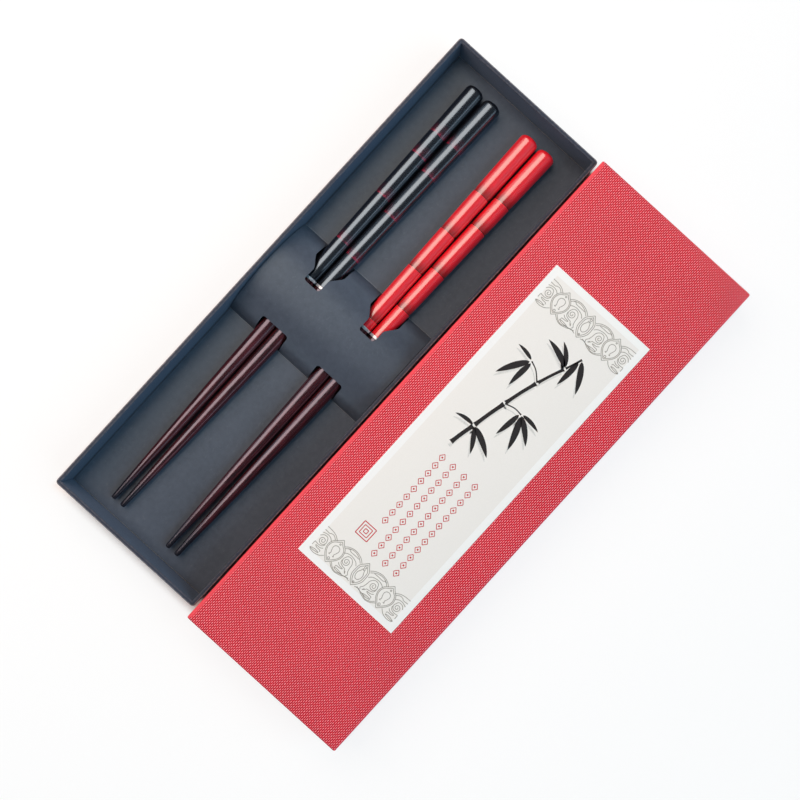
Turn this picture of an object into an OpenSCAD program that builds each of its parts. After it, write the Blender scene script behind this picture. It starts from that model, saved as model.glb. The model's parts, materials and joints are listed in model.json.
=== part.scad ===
// Gift case for two pairs of chopsticks, laid open as in use.
// A rigid board tray covered with dark paper holds a card insert. The insert is one scored sheet whose
// middle rises into a bridge, and each pair of chopsticks passes under the bridge through two die-cut
// openings. A full-depth lid in red embossed paper, with a paper label, lies beside the tray.
// Millimetres, +Z up. The origin is the centre of the tray's underside, +Y points to the handles
// and +X points to the lid.

/* [Chopsticks] */
// Length of a chopstick
stick_l = 225; // [200:1:240]
// Length of the lacquered handle
handle_l = 103; // [90:1:115]
// Diameter of the handle at its round end
handle_top_d = 8.3; // [7:0.1:9]
// Diameter of the handle at the ring
handle_low_d = 6.75; // [6:0.05:7]
// Length of the handle's domed end
nose_l = 2.5; // [2:0.1:5]
// Length of the metal ring
ring_l = 1.2; // [0.8:0.1:3]
// How far the ring stands proud of the handle
ring_proud = 0.05; // [0:0.01:0.2]
// Diameter of the wooden shaft below the ring
shaft_top_d = 6.7; // [6:0.05:7]
// Diameter of the wooden shaft at the tip
tip_d = 2.2; // [1.8:0.1:3]
// Length of the rounding at the tip
tip_round = 0.5; // [0.2:0.1:0.8]
// How much fuller than a straight taper the shaft is
taper_swell = 0.75; // [0:0.05:0.9]
// Diameter of the tenon that joins shaft, ring and handle
tenon_d = 4; // [3:0.1:5]
// Depth of the tenon's socket in the handle
socket_l = 14; // [8:1:25]
// Radial gap for glue round the tenon
glue_gap = 0.05; // [0.02:0.01:0.1]
// Gap for glue past the tenon's end
glue_end_gap = 0.5; // [0.2:0.1:1]

/* [Bamboo joints of the handles] */
// Depth of the waist above each joint
joint_dip = 0.15; // [0.05:0.01:0.3]
// Length of the waist above each joint
joint_l = 1.8; // [1:0.1:4]
// Joints of the left black handle, from its round end
black_left_joints = [25.4, 36.8, 58.9, 83.5]; // [10:0.1:100]
// Joints of the right black handle, from its round end
black_right_joints = [25.1, 40.3, 63, 85.9]; // [10:0.1:100]
// Joints of the left red handle, from its round end
red_left_joints = [31.5, 51.9, 71.9, 99]; // [10:0.1:100]
// Joints of the right red handle, from its round end
red_right_joints = [28.3, 42.6, 66.8, 87.6]; // [10:0.1:100]

/* [How the chopsticks lie] */
// Distance of each pair's middle from the tray's centre line
pair_x = 15; // [13:0.5:25]
// Distance between a pair's axes at the round ends
spread_top = 9.2; // [9.1:0.1:12]
// Distance between a pair's axes at the tips
spread_tip = 4.8; // [4.7:0.1:6]
// Shift of the chopsticks from the tray's middle, towards the handles
stick_shift_y = -0.3; // [-2:0.1:2]
// Gap between a handle and the card that it lies on
seat_gap = 0.15; // [0.1:0.05:0.4]

/* [Card insert] */
// Thickness of the card
card_t = 0.5; // [0.3:0.05:0.8]
// Distance between the two folds at the feet of the bridge
bridge_chord = 46.7; // [40:0.1:56]
// Head room between the chopsticks and the bridge's crown
bridge_room = 4.8; // [4:0.1:9]
// Shift of the bridge from the tray's middle, towards the handles
bridge_shift_y = 0.85; // [-3:0.05:3]
// Radius of the bridge's haunches
haunch_r = 14; // [10:0.5:16]
// Angle at which the bridge leaves the card at a fold
foot_angle = 70; // [60:1:74]
// Gap between a pair and each side of its opening on the handle side
head_open_clear = 0.5; // [0.4:0.05:1]
// Gap between a pair and each side of its opening on the tip side
tip_open_clear = 0.3; // [0.3:0.05:1]
// Height between a pair and the bridge where an opening's full width ends
bridge_clear = 0.6; // [0.4:0.05:1.2]
// Share of a handle's radius below its top at which the shoulders may start
shoulder_drop = 0.35; // [0:0.05:0.4]
// Width of the neck that ends each opening on the handle side
neck_w = 8; // [6:0.1:10]
// Length of the neck
neck_l = 5.5; // [2:0.1:7]
// Length of the shoulders between the full width and the neck
shoulder_l = 6; // [3:0.1:7]
// Easing of the shoulders' corners
shoulder_ease = 1.5; // [0.5:0.1:2.4]
// Easing of the other corners of the openings
corner_ease = 1; // [0.2:0.1:1.5]

/* [Board and paper] */
// Thickness of the grey board
board_t = 1.4; // [1:0.1:2]
// Thickness of the covering paper
paper_t = 0.2; // [0.1:0.05:0.3]
// Thickness of the paper that lines the floor
liner_t = 0.2; // [0.1:0.05:0.4]
// Gap left round the liner and the insert
fit_gap = 0.3; // [0.2:0.05:0.6]
// Reach of a corner stay along each wall
stay_w = 12; // [6:1:20]
// Thickness of a corner stay
stay_t = 0.1; // [0.05:0.01:0.15]
// Slit between two walls of the folded blank
corner_slit = 0.1; // [0.05:0.01:0.2]

/* [Tray] */
// Room between the chopsticks' ends and the end walls
end_room = 6.2; // [5.5:0.1:20]
// Room between the pairs and the long walls
side_room = 11.7; // [4:0.1:25]
// Height of the rim above the bridge's crown
rim_room = 3.5; // [1:0.1:12]
// Radius of the tray's upright corners
tray_corner_r = 1.5; // [0.8:0.1:2]

/* [Lid] */
// Gap between the tray and the lid on each side when closed
lid_clear = 0.6; // [0.3:0.1:1.2]
// Gap above the tray's rim when closed
lid_headroom = 1.2; // [0.3:0.1:4]
// Radius of the lid's upright corners
lid_corner_r = 0.8; // [0.5:0.1:2]
// Gap between tray and lid as they lie side by side
lid_beside = 0.9; // [0.5:0.1:40]
// Shift of the lid along the tray as it lies
lid_shift_y = -1.4; // [-20:0.1:20]

/* [Label] */
// Width of the label
label_w = 50; // [20:0.5:70]
// Length of the label
label_l = 152.5; // [60:0.5:200]
// Thickness of the label
label_t = 0.15; // [0.1:0.05:0.3]
// Shift of the label across the lid
label_shift_x = -0.4; // [-4:0.1:4]
// Shift of the label along the lid, towards the head
label_shift_y = 3.4; // [-15:0.1:15]

/* [Hidden] */
$fn = 64;

// The four chopsticks: name, side of the tray, side within the pair, joints and lacquer
STICKS = [
    ["black_left", -1, -1, black_left_joints, "#17181b"],
    ["black_right", -1, 1, black_right_joints, "#17181b"],
    ["red_left", 1, -1, red_left_joints, "#c9202c"],
    ["red_right", 1, 1, red_right_joints, "#c9202c"]
];

// Steps of the curved outlines
nose_steps = 6;
taper_steps = 14;
ease_steps = 6;

// Colours of the papers, the card and the wood
tray_paper_colour = "#333c4a";
card_colour = "#4b5158";
lid_paper_colour = "#d8414e";
label_colour = "#efeeea";
board_colour = "#8d8a83";
stay_colour = "#b9a37f";
liner_colour = "#3d434b";
wood_colour = "#4a2126";
ring_colour = "#d5d8dc";

// A covered wall: board with paper on both faces
wall_t = board_t + 2 * paper_t;
// Heights of the board floor and of the liner's top, above the underside
floor_z = paper_t + board_t;
liner_top_z = floor_z + liner_t;
pad_z = liner_top_z + card_t;

// Radius of the handle at a distance from its round end, and the lean that lays its underside flat
handle_slope = (handle_top_d - handle_low_d) / (2 * handle_l);
stick_lean = atan(handle_slope);
function handle_r(s) = handle_top_d / 2 - s * handle_slope;

// Radius of the shaft at a distance from the handle's round end
shaft_start = handle_l + ring_l;
function taper(u) = u * (1 + taper_swell * (1 - u));
function shaft_r(s) =
    (tip_d + (shaft_top_d - tip_d) * taper((stick_l - s) / (stick_l - shaft_start))) / 2;

// Radius, axis spacing and top of a chopstick above the card, at a distance from its round end
ring_r = handle_low_d / 2 + ring_proud;
function stick_r(s) = s <= handle_l ? handle_r(s) : s <= shaft_start ? ring_r : shaft_r(s);
function pair_spread(s) = spread_top + (spread_tip - spread_top) * s / stick_l;
function stick_top(s) =
    seat_gap + handle_top_d / 2 * cos(stick_lean) - s * sin(stick_lean) + stick_r(s);

// Length and width of the tray follow from the chopsticks, and its height from the bridge
stick_top_y = stick_l / 2 + stick_shift_y;
pair_half_w = (spread_top + handle_top_d) / 2;
tray_l = stick_l + 2 * (end_room + wall_t);
tray_w = 2 * (pair_x + pair_half_w + side_room + wall_t);
bridge_rise = handle_low_d + seat_gap + bridge_room + card_t;
tray_h = pad_z + bridge_rise + rim_room;

// The bridge's outer face: a crown arc between two haunch arcs, tangent where they meet
haunch_y = bridge_chord / 2 - haunch_r * sin(foot_angle);
haunch_z = -haunch_r * cos(foot_angle);
crown_lift = bridge_rise - haunch_z - haunch_r;
crown_extra_r = (haunch_y * haunch_y + crown_lift * crown_lift) / (2 * crown_lift);
crown_r = haunch_r + crown_extra_r;
crown_z = bridge_rise - crown_r;
crown_angle = asin(haunch_y / crown_extra_r);

// Distance from the bridge's middle at which its under face has a given height above the card
meet_z = crown_z + (crown_r - card_t) * cos(crown_angle);
function bridge_reach(z) = z > meet_z
    ? sqrt(pow(crown_r - card_t, 2) - pow(z - crown_z, 2))
    : haunch_y + sqrt(pow(haunch_r - card_t, 2) - pow(z - haunch_z, 2));

// Folds at the feet of the bridge, and the openings that begin there
head_fold_y = bridge_shift_y + bridge_chord / 2;
tip_fold_y = bridge_shift_y - bridge_chord / 2;
head_fold_s = stick_top_y - head_fold_y;
mid_s = stick_top_y - bridge_shift_y;
shoulder_z = stick_top(head_fold_s) - shoulder_drop * stick_r(head_fold_s) + bridge_clear;
head_full_y = bridge_shift_y + bridge_reach(shoulder_z);
tip_full_y = bridge_shift_y - bridge_reach(stick_top(mid_s) + bridge_clear);
tip_full_s = stick_top_y - tip_full_y;
head_open_w = pair_spread(head_fold_s) + 2 * (stick_r(head_fold_s) + head_open_clear);
tip_open_w = pair_spread(tip_full_s) + 2 * (stick_r(tip_full_s) + tip_open_clear);

// The insert fits inside the tray's walls
insert_w = tray_w - 2 * (wall_t + fit_gap);
insert_l = tray_l - 2 * (wall_t + fit_gap);

// The lid covers the tray down to the table
lid_w = tray_w + 2 * (lid_clear + wall_t);
lid_l = tray_l + 2 * (lid_clear + wall_t);
lid_h = tray_h + lid_headroom + liner_top_z;
lid_x = (tray_w + lid_w) / 2 + lid_beside;

// Flat area with round corners, w across and l along
module rounded_area(w, l, r) {
    square([w - 2 * r, l], center = true);
    square([w, l - 2 * r], center = true);
    for (sx = [-1, 1], sy = [-1, 1])
        translate([sx * (w / 2 - r), sy * (l / 2 - r)])
            circle(r);
}

// Outline of the board under the paper, drawn in by a depth
module board_area(w, l, r, depth = 0) {
    inset = paper_t + depth;
    rounded_area(w - 2 * inset, l - 2 * inset, r - inset);
}

// Inside of a box whose walls have a given thickness, from the board floor up through the mouth
module box_hollow(w, l, h, wall) {
    translate([0, 0, floor_z])
        linear_extrude(h)
            square([w - 2 * wall, l - 2 * wall], center = true);
}

// Floor and walls that the board fills, with its stays
module board_space(w, l, h, r) {
    difference() {
        translate([0, 0, paper_t])
            linear_extrude(h - 2 * paper_t)
                board_area(w, l, r);
        box_hollow(w, l, h, paper_t + board_t);
    }
}

// Gummed paper strips folded round the four upright corners of the board
module box_stays(w, l, h, r) {
    translate([0, 0, floor_z])
        linear_extrude(h - paper_t - floor_z)
            intersection() {
                difference() {
                    board_area(w, l, r);
                    board_area(w, l, r, stay_t);
                }
                for (sx = [-1, 1], sy = [-1, 1])
                    translate([sx * (w / 2 - paper_t), sy * (l / 2 - paper_t)])
                        square(2 * stay_w, center = true);
            }
}

// Scored board blank folded up into a box: the walls meet at slits and only the floor joins them
module box_board(w, l, h, r) {
    slit_x = w / 2 - paper_t - board_t - corner_slit;
    slit_y = l / 2 - paper_t - board_t;
    difference() {
        board_space(w, l, h, r);
        box_stays(w, l, h, r);
        for (sx = [0, 1], sy = [0, 1])
            mirror([sx, 0, 0])
                mirror([0, sy, 0])
                    translate([slit_x, slit_y, floor_z])
                        cube([corner_slit, 2 * board_t, h]);
    }
}

// Covering paper: under the floor, up the outside, over the rim and down the inside to the floor
module box_wrap(w, l, h, r) {
    difference() {
        linear_extrude(h)
            rounded_area(w, l, r);
        box_hollow(w, l, h, wall_t);
        board_space(w, l, h, r);
    }
}

// Paper that lines the floor inside the box
module box_liner(w, l) {
    inset = wall_t + fit_gap;
    translate([0, 0, floor_z])
        linear_extrude(liner_t)
            square([w - 2 * inset, l - 2 * inset], center = true);
}

module tray_board() {
    color(board_colour)
        box_board(tray_w, tray_l, tray_h, tray_corner_r);
}

module tray_stays() {
    color(stay_colour)
        box_stays(tray_w, tray_l, tray_h, tray_corner_r);
}

module tray_wrap() {
    color(tray_paper_colour)
        box_wrap(tray_w, tray_l, tray_h, tray_corner_r);
}

module tray_liner() {
    color(liner_colour)
        box_liner(tray_w, tray_l);
}

// The lid's parts are drawn mouth up, then turned over onto the table beside the tray
module lid_place() {
    translate([lid_x, lid_shift_y, lid_h])
        rotate([180, 0, 0])
            children();
}

module lid_board() {
    color(board_colour)
        lid_place()
            box_board(lid_w, lid_l, lid_h, lid_corner_r);
}

module lid_stays() {
    color(stay_colour)
        lid_place()
            box_stays(lid_w, lid_l, lid_h, lid_corner_r);
}

module lid_wrap() {
    color(lid_paper_colour)
        lid_place()
            box_wrap(lid_w, lid_l, lid_h, lid_corner_r);
}

module lid_liner() {
    color(liner_colour)
        lid_place()
            box_liner(lid_w, lid_l);
}

module lid_label() {
    color(label_colour)
        translate([lid_x + label_shift_x, lid_shift_y + label_shift_y, lid_h])
            linear_extrude(label_t)
                square([label_w, label_l], center = true);
}

// Area under the bridge's outer face, drawn in by a depth: a sector of the crown between two haunches
module bridge_area(depth = 0) {
    far = 2 * crown_r;
    translate([0, crown_z])
        intersection() {
            circle(crown_r - depth);
            polygon([
                [0, 0],
                far * [sin(crown_angle), cos(crown_angle)],
                far * [-sin(crown_angle), cos(crown_angle)]
            ]);
        }
    for (side = [-1, 1])
        translate([side * haunch_y, haunch_z])
            circle(haunch_r - depth);
}

// Side view of the scored sheet: Y across the page, height above the flat card up the page
module insert_section() {
    translate([-insert_l / 2, -card_t])
        square([insert_l / 2 + tip_fold_y, card_t]);
    translate([head_fold_y, -card_t])
        square([insert_l / 2 - head_fold_y, card_t]);
    translate([bridge_shift_y, 0])
        intersection() {
            difference() {
                bridge_area();
                bridge_area(card_t);
            }
            translate([-bridge_chord, -card_t])
                square([2 * bridge_chord, bridge_rise + 2 * card_t]);
        }
}

// Corner points of an outline, each [x, y, easing], become a curve that eases round each corner
function corner(c, i) = [c[(i + len(c)) % len(c)][0], c[(i + len(c)) % len(c)][1]];
function towards(p, q) = (q - p) / norm(q - p);
function eased(c) = [
    for (i = [0 : len(c) - 1])
        let (
            p = corner(c, i),
            back = towards(p, corner(c, i - 1)),
            on = towards(p, corner(c, i + 1)),
            ease = c[i][2]
        )
        for (k = [0 : ease > 0 ? ease_steps : 0])
            let (u = k / ease_steps)
                p + ease * (pow(1 - u, 2) * back + pow(u, 2) * on)
];

// Opening on the handle side: full width at the fold, then shoulders and a neck
module head_opening() {
    neck_y = head_full_y - shoulder_l;
    end_y = neck_y - neck_l;
    polygon(eased([
        [head_open_w / 2, head_fold_y, 0],
        [head_open_w / 2, head_full_y, shoulder_ease],
        [neck_w / 2, neck_y, shoulder_ease],
        [neck_w / 2, end_y, corner_ease],
        [-neck_w / 2, end_y, corner_ease],
        [-neck_w / 2, neck_y, shoulder_ease],
        [-head_open_w / 2, head_full_y, shoulder_ease],
        [-head_open_w / 2, head_fold_y, 0]
    ]));
}

// Opening on the tip side: straight, with eased corners
module tip_opening() {
    polygon(eased([
        [tip_open_w / 2, tip_fold_y, 0],
        [tip_open_w / 2, tip_full_y, corner_ease],
        [-tip_open_w / 2, tip_full_y, corner_ease],
        [-tip_open_w / 2, tip_fold_y, 0]
    ]));
}

module insert_card() {
    color(card_colour)
        translate([0, 0, pad_z])
            difference() {
                translate([-insert_w / 2, 0, 0])
                    rotate([90, 0, 90])
                        linear_extrude(insert_w)
                            insert_section();
                for (side = [-1, 1])
                    translate([side * pair_x, 0, -2 * card_t])
                        linear_extrude(bridge_rise + 4 * card_t) {
                            head_opening();
                            tip_opening();
                        }
            }
}

// Drawn upright with the round end at the origin, a chopstick is laid down, leaned onto its handle,
// turned towards its partner and moved to its place in the tray
module stick_place(k) {
    side = STICKS[k][2];
    turn = asin((spread_top - spread_tip) / (2 * stick_l));
    translate([
        STICKS[k][1] * pair_x + side * spread_top / 2,
        stick_top_y,
        pad_z + seat_gap + handle_top_d / 2 * cos(stick_lean)
    ])
        rotate([0, 0, -side * turn])
            rotate([stick_lean - 90, 0, 0])
                children();
}

// Lacquered handle: domed end, a waist above each bamboo joint and a socket for the tenon
module handle(k) {
    joints = [for (s = STICKS[k][3]) if (s < handle_l) s];
    socket_r = tenon_d / 2 + glue_gap;
    outline = concat(
        [
            for (i = [0 : nose_steps])
                let (a = 90 * i / nose_steps)
                    [handle_r(nose_l) * sin(a), -nose_l * (1 - cos(a))]
        ],
        [
            for (s = joints, step = [0 : 2])
                step == 0 ? [handle_r(s - joint_l), joint_l - s]
                    : [handle_r(s) - (step == 1 ? joint_dip : 0), -s]
        ],
        [
            [handle_r(handle_l), -handle_l],
            [socket_r, -handle_l],
            [socket_r, socket_l - handle_l],
            [0, socket_l - handle_l]
        ]
    );
    color(STICKS[k][4])
        stick_place(k)
            rotate_extrude()
                polygon(outline);
}

// Metal ring between handle and shaft
module ring(k) {
    inner_r = tenon_d / 2 + glue_gap;
    color(ring_colour)
        stick_place(k)
            rotate_extrude()
                translate([inner_r, -shaft_start])
                    square([ring_r - inner_r, ring_l]);
}

// Turned wooden shaft with its tenon
module shaft(k) {
    tenon_top = handle_l - socket_l + glue_end_gap;
    taper_end = stick_l - tip_round;
    outline = concat(
        [
            [0, -tenon_top],
            [tenon_d / 2, -tenon_top],
            [tenon_d / 2, -shaft_start]
        ],
        [
            for (i = [0 : taper_steps])
                let (s = shaft_start + (taper_end - shaft_start) * i / taper_steps)
                    [shaft_r(s), -s]
        ],
        [
            [tip_d / 2 - tip_round, -stick_l],
            [0, -stick_l]
        ]
    );
    color(wood_colour)
        stick_place(k)
            rotate_extrude()
                polygon(outline);
}

tray_board();
tray_stays();
tray_wrap();
tray_liner();
insert_card();
for (k = [0 : len(STICKS) - 1]) {
    handle(k);
    ring(k);
    shaft(k);
}
lid_board();
lid_stays();
lid_wrap();
lid_liner();
lid_label();
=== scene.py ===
"""Looks of a gift case for two pairs of chopsticks, laid open on a pale table.

The covers, the lid's board, the card, the chopsticks and the printed label are surfaces worked out with numpy
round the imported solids, in metres and in their frame: +Z up, +Y towards the handles, +X towards the lid.
"""

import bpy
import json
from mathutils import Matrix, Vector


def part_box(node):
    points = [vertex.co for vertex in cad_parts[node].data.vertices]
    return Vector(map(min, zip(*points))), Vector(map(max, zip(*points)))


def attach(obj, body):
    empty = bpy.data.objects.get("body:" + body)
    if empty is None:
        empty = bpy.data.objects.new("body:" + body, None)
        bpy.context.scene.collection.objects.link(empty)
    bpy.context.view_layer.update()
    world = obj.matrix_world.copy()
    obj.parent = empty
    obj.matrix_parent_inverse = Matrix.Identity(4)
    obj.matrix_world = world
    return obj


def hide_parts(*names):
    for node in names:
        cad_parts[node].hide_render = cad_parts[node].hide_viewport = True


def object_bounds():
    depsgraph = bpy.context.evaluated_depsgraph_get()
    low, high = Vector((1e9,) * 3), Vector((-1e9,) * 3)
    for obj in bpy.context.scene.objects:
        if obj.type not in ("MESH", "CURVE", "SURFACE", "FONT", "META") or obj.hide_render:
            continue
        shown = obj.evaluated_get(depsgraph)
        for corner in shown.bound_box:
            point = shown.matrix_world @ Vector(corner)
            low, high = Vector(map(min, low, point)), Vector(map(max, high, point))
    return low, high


bl_info = {
    "name": "Chopstick Gift Case",
    "version": (1, 0, 0),
    "blender": (4, 5, 0),
    "location": "3D View > Sidebar > Gift Case",
    "description": "Covers, card insert, chopsticks and printed label of a chopstick gift case",
    "category": "Object",
}

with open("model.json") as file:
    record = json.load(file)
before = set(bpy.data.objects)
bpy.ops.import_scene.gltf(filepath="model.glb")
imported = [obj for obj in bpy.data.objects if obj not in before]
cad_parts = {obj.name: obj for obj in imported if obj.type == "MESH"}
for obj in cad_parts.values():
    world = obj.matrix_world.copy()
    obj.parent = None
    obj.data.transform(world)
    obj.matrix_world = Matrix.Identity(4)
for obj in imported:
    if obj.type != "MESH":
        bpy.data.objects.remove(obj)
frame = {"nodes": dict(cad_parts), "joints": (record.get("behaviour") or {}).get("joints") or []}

import json
import math

import bmesh
import bpy
import numpy as np
from bpy.props import FloatProperty, FloatVectorProperty, PointerProperty

CAD_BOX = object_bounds()
MM = 0.001
STICKS = tuple(f"{pair}_{side}" for pair in ("black", "red") for side in ("left", "right"))
TURN = 2 * math.pi
# Corners nearer than this become one
WELD = 1e-7
# Places that lie nearer than this are the same
SAME = 1e-9


def srgb(code):
    """Scene-linear colour of a hex code: each channel goes back through the sRGB curve."""
    channels = np.array([int(code[i:i + 2], 16) for i in (1, 3, 5)]) / 255
    linear = np.where(channels <= 0.04045, channels / 12.92, ((channels + 0.055) / 1.055) ** 2.4)
    return tuple(float(c) for c in linear)


def length(name, description, default_mm):
    """A length property whose default is given in millimetres."""
    return FloatProperty(name=name, description=description, default=default_mm * MM, unit="LENGTH")


def lengths(name, description, defaults_mm):
    """A row of lengths whose defaults are given in millimetres."""
    return FloatVectorProperty(name=name, description=description, size=len(defaults_mm), unit="LENGTH",
                               default=[v * MM for v in defaults_mm])


def share(name, description, default):
    """A plain factor from 0 to 1."""
    return FloatProperty(name=name, description=description, default=default, min=0, max=1, subtype="FACTOR")


def angle(name, description, default_degrees):
    """An angle property whose default is given in degrees."""
    return FloatProperty(name=name, description=description, default=math.radians(default_degrees),
                         subtype="ANGLE")


def light_colour(name, description, channels):
    """A colour property whose default is given as scene-linear channels."""
    return FloatVectorProperty(name=name, description=description, default=channels, subtype="COLOR",
                               min=0, max=1)


def colour(name, description, code):
    """A colour property whose default is given as a hex code."""
    return light_colour(name, description, srgb(code))


def power(name, description, watts):
    """A light's power in watts."""
    return FloatProperty(name=name, description=description, default=watts, unit="POWER")


class BoxSizes(bpy.types.PropertyGroup):
    """Sizes of the covered tray and lid"""
    wall: length("Wall", "Thickness of a covered wall", 1.8)
    paper: length("Paper", "Thickness of the covering paper", 0.2)
    floor: length("Floor", "Height of the board floor above the outside face", 1.6)
    stay: length("Stay", "Thickness of the corner stays between board and paper", 0.1)
    rim_round: length("Rim rounding", "Radius of the paper round the rim's edges", 0.45)
    tray_edge: length("Tray edge", "Radius of the edges round the tray's underside", 0.35)
    lid_edge: length("Lid edge", "Radius of the edges round the lid's top", 0.8)
    tray_corner: length("Tray corner", "Radius of the tray's upright corners", 1.5)
    lid_corner: length("Lid corner", "Radius of the lid's upright corners", 0.8)
    inner_corner: length("Inner corner", "Radius of the upright corners inside", 0.3)
    lid_press: length("Lid press", "Drop of the lid's top along its edges", 0.16)
    press_slope: lengths("Press slope", "Insets of the slope down to the pressed edges", (2.4, 2.1, 1.2, 1.0))
    emboss: length("Emboss pitch", "Distance between the embossed dots along a row", 1.45)


class InsertSizes(bpy.types.PropertyGroup):
    """Sizes of the scored card insert"""
    card: length("Card", "Thickness of the card", 0.5)
    chord: length("Bridge chord", "Distance between the folds at the feet of the bridge", 46.7)
    middle: length("Bridge middle", "Place of the bridge's crown along the tray", 0.85)
    haunch: length("Haunch radius", "Radius of the bridge's haunches", 14)
    foot: angle("Foot angle", "Angle at which the bridge leaves a fold", 70)
    pair_x: length("Pair", "Distance of each pair's middle from the centre line", 15)
    head_open: length("Head opening", "Width of the openings on the handle side", 15.45)
    head_full: length("Head width ends", "Place where the head openings' full width ends", 17.8)
    shoulder: length("Shoulders", "Length of the shoulders down to the neck", 5.4)
    neck_w: length("Neck width", "Width of the neck that ends a head opening", 8)
    neck_l: length("Neck length", "Length of the neck", 5.9)
    tip_open: length("Tip opening", "Width of the openings on the tip side", 13.65)
    tip_full: length("Tip opening ends", "Place where the tip openings end", -15.3)
    ease: length("Easing", "Rounding of the openings' corners", 1.2)
    score: length("Score line", "Width of the pale line along each fold", 0.5)


class StickSizes(bpy.types.PropertyGroup):
    """Sizes of a chopstick"""
    stick_l: length("Length", "Length of a chopstick", 225)
    handle_l: length("Handle", "Length of the lacquered handle", 103)
    handle_top_d: length("Handle top", "Diameter of the handle at its round end", 8.3)
    handle_low_d: length("Handle foot", "Diameter of the handle at the ring", 6.75)
    nose: length("Nose", "Length of the handle's domed end", 2.5)
    ring_l: length("Ring", "Length of the metal ring", 1.2)
    ring_proud: length("Ring stands proud", "How far the ring stands out of the handle", 0.05)
    shaft_top_d: length("Shaft top", "Diameter of the shaft below the ring", 6.7)
    tip_d: length("Tip", "Diameter of the shaft at its tip", 2.2)
    tip_round: length("Tip rounding", "Length of the rounding at the tip", 0.5)
    swell: share("Swell", "How much fuller than a straight taper the shaft is", 0.75)
    tenon_d: length("Tenon", "Diameter of the tenon inside ring and handle", 4)
    socket_l: length("Socket", "Depth of the tenon's socket", 14)
    glue: length("Glue gap", "Radial gap round the tenon", 0.05)
    glue_end: length("Glue end gap", "Gap past the tenon's end", 0.5)
    edge: length("Edge", "Rounding of the turned edges", 0.15)
    joint_dip: length("Joint waist", "Depth of the waist above a bamboo joint", 0.15)
    joint_l: length("Waist length", "Length of the waist above a bamboo joint", 1.8)
    black_left: lengths("Black left joints", "Joints from the round end", (25.4, 36.8, 58.9, 83.5))
    black_right: lengths("Black right joints", "Joints from the round end", (25.1, 40.3, 63, 85.9))
    red_left: lengths("Red left joints", "Joints from the round end", (31.5, 51.9, 71.9, 99))
    red_right: lengths("Red right joints", "Joints from the round end", (28.3, 42.6, 66.8, 87.6))


class LabelSizes(bpy.types.PropertyGroup):
    """Sizes of the label and its print"""
    ink: length("Ink", "Height of the print above the paper", 0.02)
    border: length("Border", "Width of the bare border round the tinted panel", 3)
    line: length("Line", "Width of the scroll bands' lines", 0.27)
    head_band: length("Head band", "Middle of the scroll band at the head", 65.7)
    foot_band: length("Foot band", "Middle of the scroll band at the foot", -67.2)
    sprig: lengths("Sprig", "Middle of the bamboo sprig", (-0.5, 26))
    shadow: lengths("Shadow", "Shift of the sprig's grey shadow", (0.4, -1.7))
    columns: lengths("Columns", "Places of the red columns across the label", (-7, -1.4, 4.5, 10.4))
    column_head: length("Column head", "Upper end of the red columns", -11)
    seal: lengths("Seal", "Middle of the red square", (-9.7, -53))


class Finishes(bpy.types.PropertyGroup):
    """Colours of the case"""
    tray_paper: colour("Tray paper", "Dark blue-grey covering paper", "#2d3645")
    # Paler paper along the edges: wear, and a painted highlight round the rim and on the edges facing the
    # window
    tray_wear_and_highlight: colour("Tray paper, worn and lit", "Covering paper along its edges", "#8d888b")
    card: colour("Card", "Dark grey card of the insert", "#454d5a")
    card_score: colour("Score line", "Pale line where the card is folded", "#7f868d")
    lid_paper: colour("Lid paper", "Embossed red paper", "#ef1f36")
    # Pale raised dots and dark hollows: a painted highlight and painted shade that follow the emboss
    lid_dot_highlight: colour("Lid dots", "Raised dots of the embossed paper", "#ffb0bb")
    lid_pit_shade: colour("Lid pits", "Hollows of the embossed paper", "#860610")
    black: colour("Black lacquer", "Handles of the left pair", "#111217")
    black_band: colour("Red in the black", "Red that shows at the black handles' joints", "#8a1d37")
    red: colour("Red lacquer", "Handles of the right pair", "#ec2230")
    red_shade: colour("Brown in the red", "Dark shade above the red handles' joints", "#551a10")
    wood: colour("Wood", "Dark red-brown wood", "#1c0b0c")
    wood_streak: colour("Wood streaks", "Paler streaks of the wood", "#4c171c")
    wood_tip: colour("Wood tips", "Dark lacquer that the tips are dipped in", "#14151b")
    ring: colour("Ring", "Bright metal", "#e6f1fc")
    label: colour("Label", "Paper of the label", "#f3f4f3")
    panel: colour("Panel", "Tinted panel of the label", "#edebe7")
    grey_ink: colour("Grey ink", "Lines of the scroll bands", "#8a8780")
    black_ink: colour("Black ink", "Brush strokes", "#1d1d20")
    shadow_ink: colour("Shadow ink", "Grey shadow of the brush strokes", "#c3c3c0")
    red_ink: colour("Red ink", "Small red ornaments", "#b52331")
    liner: colour("Liner", "Paper inside", "#3d434b")
    board: colour("Board", "Grey board", "#8d8a83")
    stay: colour("Stays", "Gummed paper at the corners", "#b9a37f")
    table: colour("Table", "Pale table under the case", "#ffffff")


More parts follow.
